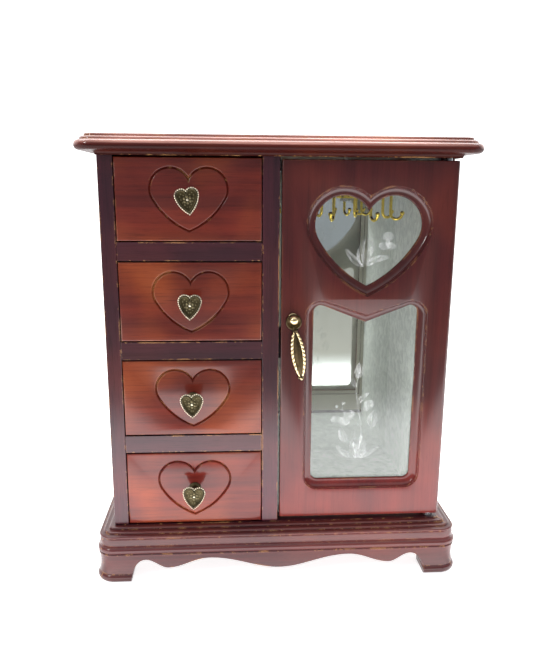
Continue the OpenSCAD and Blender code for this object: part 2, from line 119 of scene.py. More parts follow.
# -------- mesh building
class Surface:
    """Points and faces of one piece, in mm, with y measured from the plane of the front faces."""

    def __init__(self):
        self.points = []
        self.faces = []

    def loop(self, points):
        start = len(self.points)
        self.points += [Vector(p) for p in points]
        return list(range(start, start + len(points)))

    def upright(self, outline, y):
        return self.loop([(x, y, z) for x, z in outline])

    def bridge(self, a, b, closed=True):
        count = len(a)
        for i in range(count if closed else count - 1):
            j = (i + 1) % count
            self.faces.append((a[i], a[j], b[j], b[i]))

    def cap(self, outer, holes=()):
        loops = [outer, *holes]
        flat = [i for one in loops for i in one]
        places = [[self.points[i] for i in one] for one in loops]
        for triangle in tessellate_polygon(places):
            self.faces.append(tuple(flat[i] for i in triangle))

    def rings(self, loops, first_cap=True, last_cap=True):
        for a, b in zip(loops, loops[1:]):
            self.bridge(a, b)
        if first_cap:
            self.cap(loops[0])
        if last_cap:
            self.cap(loops[-1])

    def lathe(self, profile, centre, axis, sides=32):
        """profile holds (radius, distance along axis) pairs."""
        axis = Vector(axis).normalized()
        side = axis.orthogonal().normalized()
        up = axis.cross(side)
        loops = []
        for radius, along in profile:
            middle = Vector(centre) + axis * along
            turn = [2 * pi * i / sides for i in range(sides)]
            loops.append(self.loop([
                middle + (side * cos(t) + up * sin(t)) * max(radius, 0.01) for t in turn
            ]))
        self.rings(loops)

    def tube(self, path, radius, sides=12, shape=None, flat=1.0, start_side=None):
        """A tube along path. radius is a number or a function of the share of the way,
        and shape a function of (share, angle) that scales it."""
        path = [Vector(p) for p in path]
        loops = []
        side = None
        for i, p in enumerate(path):
            ahead = path[min(i + 1, len(path) - 1)] - path[max(i - 1, 0)]
            ahead.normalize()
            if side is None:
                side = Vector(start_side) if start_side else ahead.orthogonal()
            side = (side - ahead * side.dot(ahead)).normalized()
            up = ahead.cross(side)
            share = i / (len(path) - 1)
            size = radius(share) if callable(radius) else radius
            ring = []
            for j in range(sides):
                t = 2 * pi * j / sides
                r = size * (shape(share, t) if shape else 1.0)
                ring.append(p + side * cos(t) * r + up * sin(t) * r * flat)
            loops.append(self.loop(ring))
        self.rings(loops)

    def ball(self, centre, radius, squash=1.0, axis=UP, sides=12, rings=7):
        profile = [
            (radius * sin(pi * i / rings), -radius * squash * cos(pi * i / rings))
            for i in range(rings + 1)
        ]
        self.lathe(profile, centre, axis, sides)

    def turn(self, angle, about):
        """Turns all the points in the plane of the front faces, about the point about."""
        m = Matrix.Rotation(radians(angle), 3, "Y")
        about = Vector(about)
        self.points = [m @ (p - about) + about for p in self.points]

    def piece(self, name, material, body, slot, replaces=(), sharp=32.0, solid=True):
        mesh = bpy.data.meshes.new(name)
        mesh.from_pydata([(p.x * MM, (p.y + FACE) * MM, p.z * MM) for p in self.points], [], self.faces)
        bm = bmesh.new()
        bm.from_mesh(mesh)
        bmesh.ops.remove_doubles(bm, verts=bm.verts, dist=2e-6)
        bmesh.ops.dissolve_degenerate(bm, edges=bm.edges, dist=1e-6)
        if solid:
            bmesh.ops.recalc_face_normals(bm, faces=bm.faces)
        for face in bm.faces:
            face.smooth = True
        limit = radians(sharp)
        for edge in bm.edges:
            edge.smooth = len(edge.link_faces) == 2 and edge.calc_face_angle(0) < limit
        bm.to_mesh(mesh)
        bm.free()
        mesh.materials.append(material)
        obj = placed(name, mesh)
        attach(obj, body)
        if replaces:
            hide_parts(*replaces)
        return obj


# -------- materials
def linear(r, g, b):
    def one(c):
        c /= 255
        return c / 12.92 if c <= 0.04045 else ((c + 0.055) / 1.055) ** 2.4
    return (one(r), one(g), one(b), 1.0)


class Look:
    """Short names for the nodes of one material or room. Lengths are in metres."""

    def __init__(self, name, kind=bpy.data.materials, out="ShaderNodeOutputMaterial"):
        self.data = kind.new(name)
        self.data.use_nodes = True
        self.tree = self.data.node_tree
        self.tree.nodes.clear()
        self.out = self.node(out)
        self.place = self.node("ShaderNodeTexCoord").outputs["Object"]

    def node(self, kind, **settings):
        made = self.tree.nodes.new(kind)
        for key, value in settings.items():
            setattr(made, key, value)
        return made

    def put(self, socket, value):
        if isinstance(value, bpy.types.NodeSocket):
            self.tree.links.new(value, socket)
        else:
            socket.default_value = value

    def noise(self, scale, detail=3, rough=0.55, warp=0.0):
        """Noise with scale features in a metre, or a different scale for each axis."""
        place = self.place
        if isinstance(scale, tuple):
            stretch = self.node("ShaderNodeMapping")
            self.put(stretch.inputs["Vector"], place)
            stretch.inputs["Scale"].default_value = scale
            place, scale = stretch.outputs["Vector"], 1.0
        made = self.node("ShaderNodeTexNoise")
        self.put(made.inputs["Vector"], place)
        values = {"Scale": scale, "Detail": detail, "Roughness": rough, "Distortion": warp}
        for socket, value in values.items():
            made.inputs[socket].default_value = value
        return made.outputs["Fac"]

    def streaks(self, grain, along, across, detail=3, rough=0.55, warp=0.0):
        """Noise drawn out along one axis."""
        return self.noise(tuple(along if axis == grain else across for axis in "XYZ"), detail, rough, warp)

    def cells(self, scale):
        made = self.node("ShaderNodeTexVoronoi")
        self.put(made.inputs["Vector"], self.place)
        made.inputs["Scale"].default_value = scale
        return made.outputs["Distance"]

    def ramp(self, value, low, high, to_low=0.0, to_high=1.0):
        made = self.node("ShaderNodeMapRange", interpolation_type="SMOOTHSTEP")
        for socket, item in zip(made.inputs, (value, low, high, to_low, to_high)):
            self.put(socket, item)
        return made.outputs["Result"]

    def maths(self, operation, a, b):
        made = self.node("ShaderNodeMath", operation=operation)
        self.put(made.inputs[0], a)
        self.put(made.inputs[1], b)
        return made.outputs[0]

    def times(self, a, b):
        return self.maths("MULTIPLY", a, b)

    def plus(self, a, b):
        return self.maths("ADD", a, b)

    def mix(self, share, a, b, way="MIX"):
        made = self.node("ShaderNodeMix", data_type="RGBA", blend_type=way)
        for number, item in ((0, share), (6, a), (7, b)):
            self.put(made.inputs[number], item)
        return made.outputs[2]

    def axis(self, name, vector=None):
        made = self.node("ShaderNodeSeparateXYZ")
        self.put(made.inputs[0], vector or self.place)
        return made.outputs[name]

    def edges(self, radius):
        """1 along edges and creases narrower than radius, 0 on open faces."""
        bevel = self.node("ShaderNodeBevel", samples=4)
        bevel.inputs["Radius"].default_value = radius
        dot = self.node("ShaderNodeVectorMath", operation="DOT_PRODUCT")
        self.put(dot.inputs[0], bevel.outputs["Normal"])
        self.put(dot.inputs[1], self.node("ShaderNodeNewGeometry").outputs["Normal"])
        return self.ramp(dot.outputs["Value"], 0.985, 0.86)

    def creases(self, reach, low, most):
        """Up to most in corners and creases within reach, 0 on open faces."""
        made = self.node("ShaderNodeAmbientOcclusion", samples=6)
        made.inputs["Distance"].default_value = reach
        return self.ramp(made.outputs["AO"], low, 0.85, most, 0.0)

    def bump(self, height, strength, distance):
        made = self.node("ShaderNodeBump")
        self.put(made.inputs["Height"], height)
        made.inputs["Strength"].default_value = strength
        made.inputs["Distance"].default_value = distance
        return made.outputs["Normal"]

    def shader(self, **values):
        made = self.node("ShaderNodeBsdfPrincipled")
        for key, value in values.items():
            self.put(made.inputs[key.replace("_", " ")], value)
        self.put(self.out.inputs["Surface"], made.outputs[0])
        return made

    def blend(self, share, first, second):
        """Covers the surface with two shaders."""
        join = self.node("ShaderNodeMixShader")
        for socket, item in zip(join.inputs, (share, first.outputs[0], second.outputs[0])):
            self.put(socket, item)
        self.put(self.out.inputs["Surface"], join.outputs[0])


def nose_highlight(look, bands, foot, crest):
    """How strongly a pale highlight is painted on the nosing: most on the front of its upper half, less near
    its ends.
    """
    height, across = look.axis("Z"), look.axis("X")
    share = look.ramp(height, (foot + 0.6) * MM, (foot + 1.8) * MM)
    for limit in (look.ramp(height, (crest - 0.5) * MM, (crest - 0.2) * MM, 1.0, 0.0),
                  look.ramp(bands, 0.3, 0.65, 0.2, 0.85),
                  look.ramp(across, 0.07, 0.14, 1.0, 0.3),
                  look.ramp(across, -0.145, -0.11, 0.4, 1.0),
                  look.ramp(look.axis("Y"), -0.078, -0.072, 1.0, 0.25)):
        share = look.times(share, limit)
    return share


def varnished(name, grain, deep, warm, patch, wear=0.5, patches=0.5, streaks=0.6, floor_light=0.0, nose=None,
              lined=False):
    """Red-brown stained wood under a clear glossy varnish, worn to the wood along its edges, with painted
    shade in its creases.
    The share for floor light is how much paler its lowest part is painted, as a painted reflection of the
    bright floor; nose gives the heights in mm between which a pale highlight is painted, with painted shade
    below them, and lined gives the face that looks backwards a pale flock lining."""
    look = Look(name)
    bands = look.streaks(grain, 4, 120, 6, 0.62, 0.4)
    lines = look.streaks(grain, 11, 460, 4, 0.65)
    fibres = look.streaks(grain, 34, 950, 3, 0.7)
    pores = look.streaks(grain, 170, 2600, 1)
    blotches = look.noise(15, 2, 0.45)
    colour = look.mix(look.ramp(bands, 0.25, 0.78), deep, warm)
    colour = look.mix(look.times(look.ramp(blotches, 0.42, 0.76), patches), colour, patch)
    dark = look.mix(1.0, colour, (0.34, 0.27, 0.27, 1), "MULTIPLY")
    for marks, low, high, share in (
            (lines, 0.5, 0.68, 0.55), (fibres, 0.52, 0.74, 1.0), (pores, 0.63, 0.7, 0.55)):
        colour = look.mix(look.times(look.ramp(marks, low, high), share * streaks), colour, dark)
    # painted reflection: the lowest part is painted paler, as if the bright floor were reflected in it
    if floor_light:
        floor_lit = look.mix(1.0, colour, (2.8, 2.0, 2.0, 1), "MULTIPLY")
        colour = look.mix(look.ramp(look.axis("Z"), 0.175, 0.05, 0.0, floor_light), colour, floor_lit)
    gloss = 0.75
    if nose:
        # painted highlight: the upper half of the nosing is painted pale pink-white where the overhead light
        # reflects
        colour = look.mix(nose_highlight(look, bands, *nose), colour, linear(232, 168, 152))
        # painted shade: below the nosing's middle the wood is painted dark and its varnish dulled
        unshaded = look.ramp(look.axis("Z"), (nose[0] - 1) * MM, (nose[0] + 1) * MM)
        colour = look.mix(unshaded, dark, colour)
        gloss = look.ramp(unshaded, 0.0, 1.0, 0.05, gloss)
    # painted shade: the wood is darkened in corners, creases and the gaps between parts
    crease_shade = look.creases(0.0035, 0.2, 0.85)
    nicks = look.ramp(look.noise(230, 4, 0.7), 0.56, 0.62)
    rubbed = look.ramp(look.noise(52, 4), 0.53, 0.63)
    bare = look.times(look.edges(0.0016), look.times(look.maths("MAXIMUM", nicks, rubbed), wear))
    colour = look.mix(bare, look.mix(crease_shade, colour, dark), linear(206, 152, 98))
    rough = look.ramp(look.noise(31, 4), 0.3, 0.7, 0.34, 0.46)
    if lined:
        facing = look.axis("Y", look.node("ShaderNodeTexCoord").outputs["Normal"])
        backwards = look.ramp(facing, 0.8, 0.95)
        nap = look.ramp(look.noise(1100, 4, 0.75), 0.35, 0.7)
        colour = look.mix(backwards, colour, look.mix(nap, linear(206, 200, 186), linear(232, 227, 214)))
        gloss = look.ramp(backwards, 0.0, 1.0, gloss, 0.0)
        rough = look.maths("MAXIMUM", rough, backwards)
    relief = look.plus(look.times(fibres, -0.5), look.times(pores, -0.6))
    look.shader(
        Base_Color=colour,
        Roughness=look.plus(rough, look.times(look.noise(900, 2), 0.08)),
        Specular_IOR_Level=0.08,
        Normal=look.bump(look.plus(relief, look.times(bare, -1.2)), 0.35, 0.00012),
        Coat_Weight=look.times(look.ramp(bare, 0.0, 0.7, 1.0, 0.2), gloss),
        Coat_Roughness=0.14,
        Coat_Normal=look.bump(look.noise(60, 3), 0.14, 0.0004),
    )
    return look.data


def raw(name, grain, pale, deep, rough=0.62):
    """Unfinished pale wood."""
    look = Look(name)
    bands = look.streaks(grain, 7, 120, 5, warp=0.5)
    fibres = look.streaks(grain, 50, 1400, 3, 0.7)
    colour = look.mix(look.ramp(bands, 0.35, 0.68), pale, deep)
    shade = look.mix(1.0, colour, (0.55, 0.48, 0.42, 1), "MULTIPLY")
    colour = look.mix(look.times(look.ramp(fibres, 0.5, 0.75), 0.7), colour, shade)
    stain = look.ramp(look.noise(18, 4), 0.55, 0.75)
    look.shader(
        Base_Color=look.mix(look.times(stain, 0.35), colour, shade),
        Roughness=look.ramp(fibres, 0.3, 0.8, rough, rough + 0.2),
        Normal=look.bump(look.plus(fibres, bands), 0.4, 0.0002),
    )
    return look.data


def felt(name, pale, deep, shade_from):
    """Flock with a clumpy nap, painted dark as shade above the height given last, in mm, and glowing faintly
    all over as painted light.
    """
    look = Look(name)
    nap = look.noise(1500, 4, 0.75)
    clumps = look.noise(130, 4, warp=0.8)
    brushed = look.noise((24, 24, 70), 4, warp=1.2)
    colour = look.mix(look.ramp(clumps, 0.35, 0.68), deep, pale)
    colour = look.mix(look.ramp(brushed, 0.52, 0.7, 0.0, 0.35), colour, (1, 1, 1, 1), "SCREEN")
    shaded_top = look.mix(1.0, colour, (0.08, 0.08, 0.09, 1), "MULTIPLY")
    # painted shade: darkened near the ceiling of the compartment
    colour = look.mix(look.ramp(look.axis("Z"), shade_from * MM, (shade_from + 10) * MM), colour, shaded_top)
    look.shader(
        Base_Color=colour,
        # painted light: the flock glows faintly, though it is no lamp
        Emission_Color=colour,
        Emission_Strength=0.14,
        Roughness=look.ramp(nap, 0.3, 0.7, 0.85, 1.0),
        Sheen_Weight=0.6,
        Sheen_Roughness=0.4,
        Normal=look.bump(look.plus(nap, clumps), 0.7, 0.0004),
    )
    return look.data


def metal(name, bright, dull, rough=0.25, grime=0.5, relief=0.3):
    """Plated metal with darker tarnish in its creases."""
    look = Look(name)
    spots = look.noise(900, 4, 0.6)
    clouds = look.ramp(look.noise(260), 0.5, 0.72)
    tarnish = look.maths("MAXIMUM", look.creases(0.0016, 0.25, grime), look.times(clouds, grime * 0.6))
    polish = look.ramp(spots, 0.3, 0.7, rough * 0.75, rough * 1.35)
    look.shader(
        Base_Color=look.mix(tarnish, bright, dull),
        Metallic=1.0,
        Roughness=look.plus(polish, look.times(tarnish, 0.3)),
        Normal=look.bump(spots, relief, 0.00006),
    )
    return look.data


def silvering(name, lean):
    """A silvered mirror that leans back a little at its top."""
    look = Look(name)
    specks = look.ramp(look.cells(190), 0.03, 0.07, 1.0, 0.0)
    specks = look.times(specks, look.ramp(look.noise(37, 1), 0.6, 0.7))
    normal = look.node("ShaderNodeVectorMath", operation="ADD")
    look.put(normal.inputs[0], look.node("ShaderNodeNewGeometry").outputs["Normal"])
    normal.inputs[1].default_value = (0, 0, lean)
    look.shader(
        Base_Color=look.mix(specks, linear(246, 248, 246), linear(120, 116, 108)),
        Metallic=1.0,
        Roughness=look.ramp(look.noise(26, 4), 0.35, 0.7, 0.02, 0.06),
        Normal=normal.outputs[0],
    )
    return look.data


def glazing(name, tint):
    """Clear glass that lets light through to what is behind it."""
    look = Look(name)
    body = look.shader(
        Base_Color=tint,
        Transmission_Weight=1.0,
        IOR=1.45,
        Roughness=look.ramp(look.noise(40, 4, warp=0.5), 0.4, 0.75, 0.0, 0.02),
    )
    clear = look.node("ShaderNodeBsdfTransparent")
    clear.inputs["Color"].default_value = tint
    look.blend(look.node("ShaderNodeLightPath").outputs["Is Shadow Ray"], body, clear)
    return look.data


def etching(name):
    """Sand-blasted glass: a pale frost that covers the glass only partly, in soft streaks."""
    look = Look(name)
    grit = look.noise(2600, 2)
    streak = look.ramp(look.noise((260, 260, 90), 4), 0.35, 0.65, 0.06, 0.34)
    frost = look.shader(
        Base_Color=linear(246, 248, 248),
        Roughness=0.8,
        Normal=look.bump(grit, 0.4, 0.0001),
    )
    clear = look.node("ShaderNodeBsdfTransparent")
    look.blend(look.times(look.ramp(grit, 0.3, 0.7, 0.6, 1.0), streak), clear, frost)
    return look.data


def moulded_plastic(name, colour, worn):
    look = Look(name)
    skin = look.noise(1800)
    look.shader(
        Base_Color=look.mix(look.ramp(skin, 0.4, 0.7, 0.0, 0.3), colour, worn),
        Roughness=look.ramp(skin, 0.3, 0.7, 0.42, 0.6),
        Normal=look.bump(skin, 0.3, 0.0001),
    )
    return look.data


# deep, warm and patch colours of each stain
FRONT = linear(68, 20, 17), linear(98, 32, 21), linear(132, 60, 24)
PLUM = linear(38, 16, 25), linear(56, 22, 31), linear(86, 36, 34)
DOOR = linear(54, 17, 18), linear(70, 23, 22), linear(98, 38, 26)
BASE = linear(62, 26, 28), linear(86, 36, 37), linear(116, 56, 47)
# height of the painted shade under the nosing's middle, and the foot of its painted highlight
NOSE_SHADE_LINE = CASE_TOP + 3.4

wood_front = varnished("drawer_wood_across", "X", *FRONT, wear=0.45, patches=0.75, floor_light=0.35)
wood_stile = varnished("case_wood_upright", "Z", *PLUM, wear=1.0, patches=0.4, floor_light=1.0)
wood_side = varnished("case_wood_side", "Z", *PLUM, wear=0.9, patches=0.5, floor_light=0.6)
wood_rail = varnished("case_wood_across", "X", *PLUM, wear=0.8, patches=0.3, floor_light=0.6)
wood_door = varnished("door_wood_upright", "Z", *DOOR, wear=0.3, streaks=0.4, floor_light=0.85, lined=True)
wood_base = varnished("moulded_wood_across", "X", *BASE, wear=0.6, streaks=0.4)
wood_base_side = varnished("moulded_wood_side", "Y", *BASE, wear=0.6, streaks=0.4)
wood_top = varnished("moulded_wood_top", "X", *FRONT, wear=0.9, patches=0.4, nose=(NOSE_SHADE_LINE, TOP_HIGH.z))
wood_plain = raw("plain_wood_box", "Y", linear(196, 162, 120), linear(168, 128, 86))
wood_plain_across = raw("plain_wood_across", "X", linear(196, 162, 120), linear(168, 128, 86))
hardboard = raw("plain_wood_back", "Z", linear(122, 88, 62), linear(104, 72, 50), 0.55)
grey_felt = felt("felt_grey", linear(236, 238, 234), linear(206, 209, 206), 318)
gold = metal("gold_plate", linear(255, 222, 96), linear(170, 116, 24), 0.16, 0.3, relief=0.1)
brass = metal("bright_brass_plate", linear(226, 204, 158), linear(66, 50, 34), 0.2, 0.7, relief=0.15)
old_brass = metal("old_brass_cast", linear(72, 65, 46), linear(14, 12, 9), 0.42, 1.0, relief=0.6)
old_brass_rim = metal("old_brass_rim", linear(232, 222, 196), linear(22, 17, 12), 0.24, 1.0, relief=0.3)
worn_brass = metal("old_brass_worn", linear(112, 103, 78), linear(22, 18, 13), 0.36, 0.9, relief=0.4)
grip_brass = metal("old_brass_grip", linear(74, 62, 44), linear(18, 14, 11), 0.34, 0.9, relief=0.4)
steel = metal("steel_plate", linear(198, 200, 204), linear(96, 94, 92), 0.3, 0.4)
mirror_face = silvering("mirror_silver", 0.0135)
glass = glazing("window_glass", linear(244, 248, 246))
frosted = etching("etched_glass")
catch_plastic = moulded_plastic("catch_case_dark", (0.03, 0.028, 0.026, 1), (0.16, 0.15, 0.14, 1))


# -------- carried-over CAD nodes
def weld_group():
    """Joins the faces of a CAD mesh into one skin and shades its curves smoothly."""
    group = bpy.data.node_groups.new("weld", "GeometryNodeTree")
    for way in ("INPUT", "OUTPUT"):
        group.interface.new_socket("Geometry", in_out=way, socket_type="NodeSocketGeometry")
    nodes, link = group.nodes, group.links.new
    begin, end = nodes.new("NodeGroupInput"), nodes.new("NodeGroupOutput")
    bare = nodes.new("GeometryNodeRemoveAttribute")
    bare.inputs["Name"].default_value = "custom_normal"
    merge = nodes.new("GeometryNodeMergeByDistance")
    merge.inputs["Distance"].default_value = 2e-6
    faces, edges = nodes.new("GeometryNodeSetShadeSmooth"), nodes.new("GeometryNodeSetShadeSmooth")
    edges.domain = "EDGE"
    edges.inputs["Shade Smooth"].default_value = False
    over = nodes.new("FunctionNodeCompare")
    over.inputs["B"].default_value = radians(32)
    link(nodes.new("GeometryNodeInputMeshEdgeAngle").outputs["Unsigned Angle"], over.inputs["A"])
    link(over.outputs[0], edges.inputs["Selection"])
    chain = (begin, bare, merge, faces, edges, end)
    for one, after in zip(chain, chain[1:]):
        link(one.outputs[0], after.inputs["Geometry"])
    return group


WELD = weld_group()


def carry(node, material, ease=0.0, segments=2):
    """Keeps a CAD node, with a material and edges eased by that many mm."""
    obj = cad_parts[node]
    obj.data.materials.clear()
    obj.data.materials.append(material)
    weld = obj.modifiers.new("weld", "NODES")
    weld.node_group = WELD
    if ease:
        bevel = obj.modifiers.new("ease", "BEVEL")
        bevel.width = ease * MM
        bevel.segments = segments
        bevel.limit_method = "ANGLE"
        bevel.angle_limit = radians(40)
        bevel.harden_normals = True


for node, material, ease, segments in (
        ("side_panel_left", wood_side, 0.9, 3), ("side_panel_right", wood_side, 0.9, 3),
        ("partition", wood_stile, 0.7, 3), ("bottom_board", wood_rail, 0.5, 2),
        ("back_panel", hardboard, 0.4, 2), ("plinth_back", wood_plain_across, 0.5, 2),
        ("mirror", mirror_face, 0.3, 2), ("carousel_spindle", steel, 0, 0),
        ("catch_magnet", catch_plastic, 0.8, 3), ("door_pivots", steel, 0, 0),
        ("door_glass", glass, 0, 0), ("glazing_beads", wood_door, 0.8, 3), ("strike_plate", steel, 0.2, 2)):
    carry(node, material, ease, segments)
for k in (1, 2, 3):
    carry(f"drawer_rail_{k}", wood_rail, 0.6, 3)
    carry(f"dust_panel_{k}", wood_plain_across, 0.2)
for k in (1, 2, 3, 4):
    for word, material, ease in (("side_left", wood_plain, 0.5), ("side_right", wood_plain, 0.5),
                                 ("back", wood_plain_across, 0.5), ("bottom", wood_plain_across, 0.2),
                                 ("knob_screw", steel, 0.3)):
        carry(f"drawer_{k}_{word}", material, ease)


# -------- moulded base and top
def wave(stations, x):
    """The height at x of a smooth wave through stations."""
    for (x0, z0), (x1, z1) in zip(stations, stations[1:]):
        if x < x1 or x1 == stations[-1][0]:
            t = min(1.0, (x - x0) / (x1 - x0))
            return z0 + (z1 - z0) * (1 - cos(pi * t)) / 2


BASE_OUT = -cad("plinth_front")[0].y
BASE_IN = cad("plinth_front")[1].y
FLOOR_UNDER = cad("bottom_board")[0].z
FOOT_W, ARCH_H, DIP_H, DROP_H = 29.0, 19.5, 12.0, 10.0
TORUS_R, BEAD_R, TOE_R = 3.3, 1.3, 4.0
TORUS_Z = BASE_H - 17
WAIST, WAIST_LOW = BASE_OUT - 2.6, TOE_R * 1.9
WAIST_HIGH = TORUS_Z - TORUS_R
base_face = arc(BASE_OUT - TOE_R, TOE_R, TOE_R, -90, 55, 14)
for i in range(13):
    t = i / 12
    base_face.append((WAIST + 1.1 * (2 * t - 1) ** 2, WAIST_LOW + (WAIST_HIGH - WAIST_LOW) * t))
base_face += arc(BASE_OUT - 1.1 - TORUS_R, TORUS_Z, TORUS_R, -50, 60, 14)
base_face += [(BASE_OUT - u, BASE_H - z) for u, z in ((3.3, 12.9), (2.8, 10.6), (3.2, 7.6))]
base_face += arc(BASE_OUT - 4.1, BASE_H - 5.6, BEAD_R, -60, 120, 10)
base_face += arc(BASE_OUT - 7.7, BASE_H - 3.6, BEAD_R, -20, 120, 9)
base_face += arc(BASE_OUT - 12, BASE_H - 1.7, BEAD_R, -20, 90, 8)
base_face += [(0, BASE_H - 1.7 + BEAD_R)]


def face_above(height):
    """The base's moulding, cut off below that height, with the same number of points."""
    points = []
    for (u0, z0), (u1, z1) in zip(base_face, base_face[1:]):
        if z0 < height <= z1:
            low = (u0 + (u1 - u0) * (height - z0) / (z1 - z0), height)
            break
    else:
        low = base_face[0]
    for u, z in base_face:
        points.append((u, z) if z >= height else low)
    return points


def apron(stations, first, last, reach, middle, steps):
    """Places along a base board with the height of the cut there, from first to last."""
    inner = [12 * (1 - cos(pi * i / 20)) for i in range(11)]
    rises = [stations[0][1] * sin(pi * i / 20) for i in range(11)]
    half = list(zip(inner, rises))
    for i in range(1, steps + 1):
        x = 12 + (reach - 12) * i / steps
        half.append((x, wave(stations, x)))
    left = [(middle - reach + x, z) for x, z in half]
    right = [(middle + reach - x, z) for x, z in reversed(half[:-1])]
    return [(first, 0.0)] + left + right + [(last, 0.0)]


def board_mesh(places):
    """A base board through places, each (plan point for an offset, height of the cut)."""
    surface = Surface()
    loops = []
    for plan, cut in places:
        section = face_above(cut) + [(0, FLOOR_UNDER), (-BASE_IN, FLOOR_UNDER), (-BASE_IN, cut)]
        loops.append(surface.loop([(*plan(u), z) for u, z in section]))
    surface.rings(loops)
    return surface


def front_plan(x):
    return lambda u: (x, -u) if u >= 0 else (max(-HALF - u, min(HALF + u, x)), -u)


def corner_plan(side, angle):
    c, s = cos(radians(angle)), sin(radians(angle))
    return lambda u: (side * (HALF + u * c), -u * s) if u >= 0 else (side * (HALF + u), -u)


def side_plan(side, y):
    return lambda u: (side * (HALF + u), y) if u >= 0 else (side * (HALF + u), max(y, -u))


reach = HALF + BASE_OUT - FOOT_W
front_stations = [(12, ARCH_H), (30, DIP_H), (64, ARCH_H + 0.5), (reach, DROP_H)]
places = [(corner_plan(-1, 45 + 4.5 * i), 0.0) for i in range(11)]
places += [(front_plan(x), z) for x, z in apron(front_stations, -HALF, HALF, reach, 0.0, 60)]
places += [(corner_plan(1, 90 - 4.5 * i), 0.0) for i in range(11)]
board_mesh(places).piece("base_front", wood_base, "case", "moulded_wood", ["plinth_front"])

side_reach = (CASE_BACK + BASE_OUT - 2 * FOOT_W + 7) / 2
side_mid = FOOT_W - BASE_OUT + side_reach
side_stations = [(12, ARCH_H), (side_reach, DROP_H + 3)]
for side, word in ((-1, "left"), (1, "right")):
    places = [(corner_plan(side, 45 - 4.5 * i), 0.0) for i in range(11)]
    run = apron(side_stations, 0.0, CASE_BACK, side_reach, side_mid, 24)
    places += [(side_plan(side, y), z) for y, z in run]
    board_mesh(places).piece(f"base_{word}", wood_base_side, "case", "moulded_wood", [f"plinth_{word}"])

TOP_OUT, TOP_T, COVE = -TOP_LOW.y, TOP_HIGH.z - CASE_TOP, CASE_TOP - TOP_LOW.z
NOSE_R = 3.7
top_face = [(0, 0), (0, -COVE), (1, -COVE)] + arc(1 + COVE, -COVE, COVE, 180, 90, 8)
top_face += arc(TOP_OUT - NOSE_R, NOSE_R, NOSE_R, -90, 90, 24)
top_face += arc(TOP_OUT - 6.2, 2 * NOSE_R, TOP_T - 2 * NOSE_R - 2, 0, 90, 10)
top_face += [(TOP_OUT - 7.4, TOP_T - 2), (TOP_OUT - 7.6, TOP_T - 0.5), (TOP_OUT - 8.1, TOP_T)]
plans = [side_plan(-1, y) for y in (TOP_HIGH.y, 100, 50)]
plans += [corner_plan(-1, 4.5 * i) for i in range(21)]
plans += [front_plan(x) for x in (-90, -45, 0, 45, 90)]
plans += [corner_plan(1, 90 - 4.5 * i) for i in range(21)]
plans += [side_plan(1, y) for y in (50, 100, TOP_HIGH.y)]
surface = Surface()
loops = [surface.loop([(*plan(u), CASE_TOP + z) for u, z in top_face]) for plan in plans]
for a, b in zip(loops, loops[1:]):
    surface.bridge(a, b, closed=False)
surface.cap([one[-1] for one in loops])
surface.cap([one[0] for one in loops])
surface.cap(loops[0] + list(reversed(loops[-1])))
surface.piece("top_moulded", wood_top, "case", "moulded_wood", ["top_board"])


# -------- drawers
# steps round the heart, as (how far outside it, depth), and round a front, as (inset, depth)
GROOVE = ((0.6, 0.0), (0.35, 0.06), (0.1, 0.3), (-0.3, 1.0), (-0.7, 1.3),
          (-1.1, 1.0), (-1.5, 0.3), (-1.75, 0.06), (-2.0, 0.0))
GROOVE_H = 47.65
EASED = ((1.1, 0.0), (0.66, 0.09), (0.32, 0.32), (0.09, 0.66), (0.0, 1.1))


def drawer_front(k):
    low, high = cad(f"drawer_{k}_front")
    depth = high.y
    middle = (low.x + high.x) / 2
    z0 = (low.z + high.z - GROOVE_H) / 2
    surface = Surface()

    def edge(inset, y):
        return surface.upright(box_loop(low.x + inset, high.x - inset, low.z + inset, high.z - inset), y)

    outer = [edge(inset, y) for inset, y in EASED]
    outer += [edge(0.0, depth - 0.5), edge(0.5, depth)]
    cuts = []
    for grow, y in GROOVE:
        outline = heart(GROOVE_H * 0.285, GROOVE_H * 0.333, GROOVE_H, grow)
        cuts.append(surface.upright([(middle + x, z0 + z) for x, z in outline], y))
    surface.cap(outer[0], [cuts[0]])
    surface.rings(outer, first_cap=False)
    surface.rings(cuts, first_cap=False)
    surface.piece(f"drawer_{k}_face", wood_front, f"drawer_{k}", "drawer_wood", [f"drawer_{k}_front"])


RIM_STEPS = 96
KNOB_MIDDLE = 11.0


def knob_outline(grow):
    return heart(3.8, 5.45, 20.0, grow, fine=3, turn_in=12)


def spaced(outline, count):
    """count points at equal steps round a closed outline."""
    points = [Vector(p) for p in outline] + [Vector(outline[0])]
    lengths = [(b - a).length for a, b in zip(points, points[1:])]
    step, places, walked, i = sum(lengths) / count, [], 0.0, 0
    for n in range(count):
        while walked + lengths[i] < n * step:
            walked += lengths[i]
            i += 1
        places.append(points[i].lerp(points[i + 1], (n * step - walked) / lengths[i]))
    return places


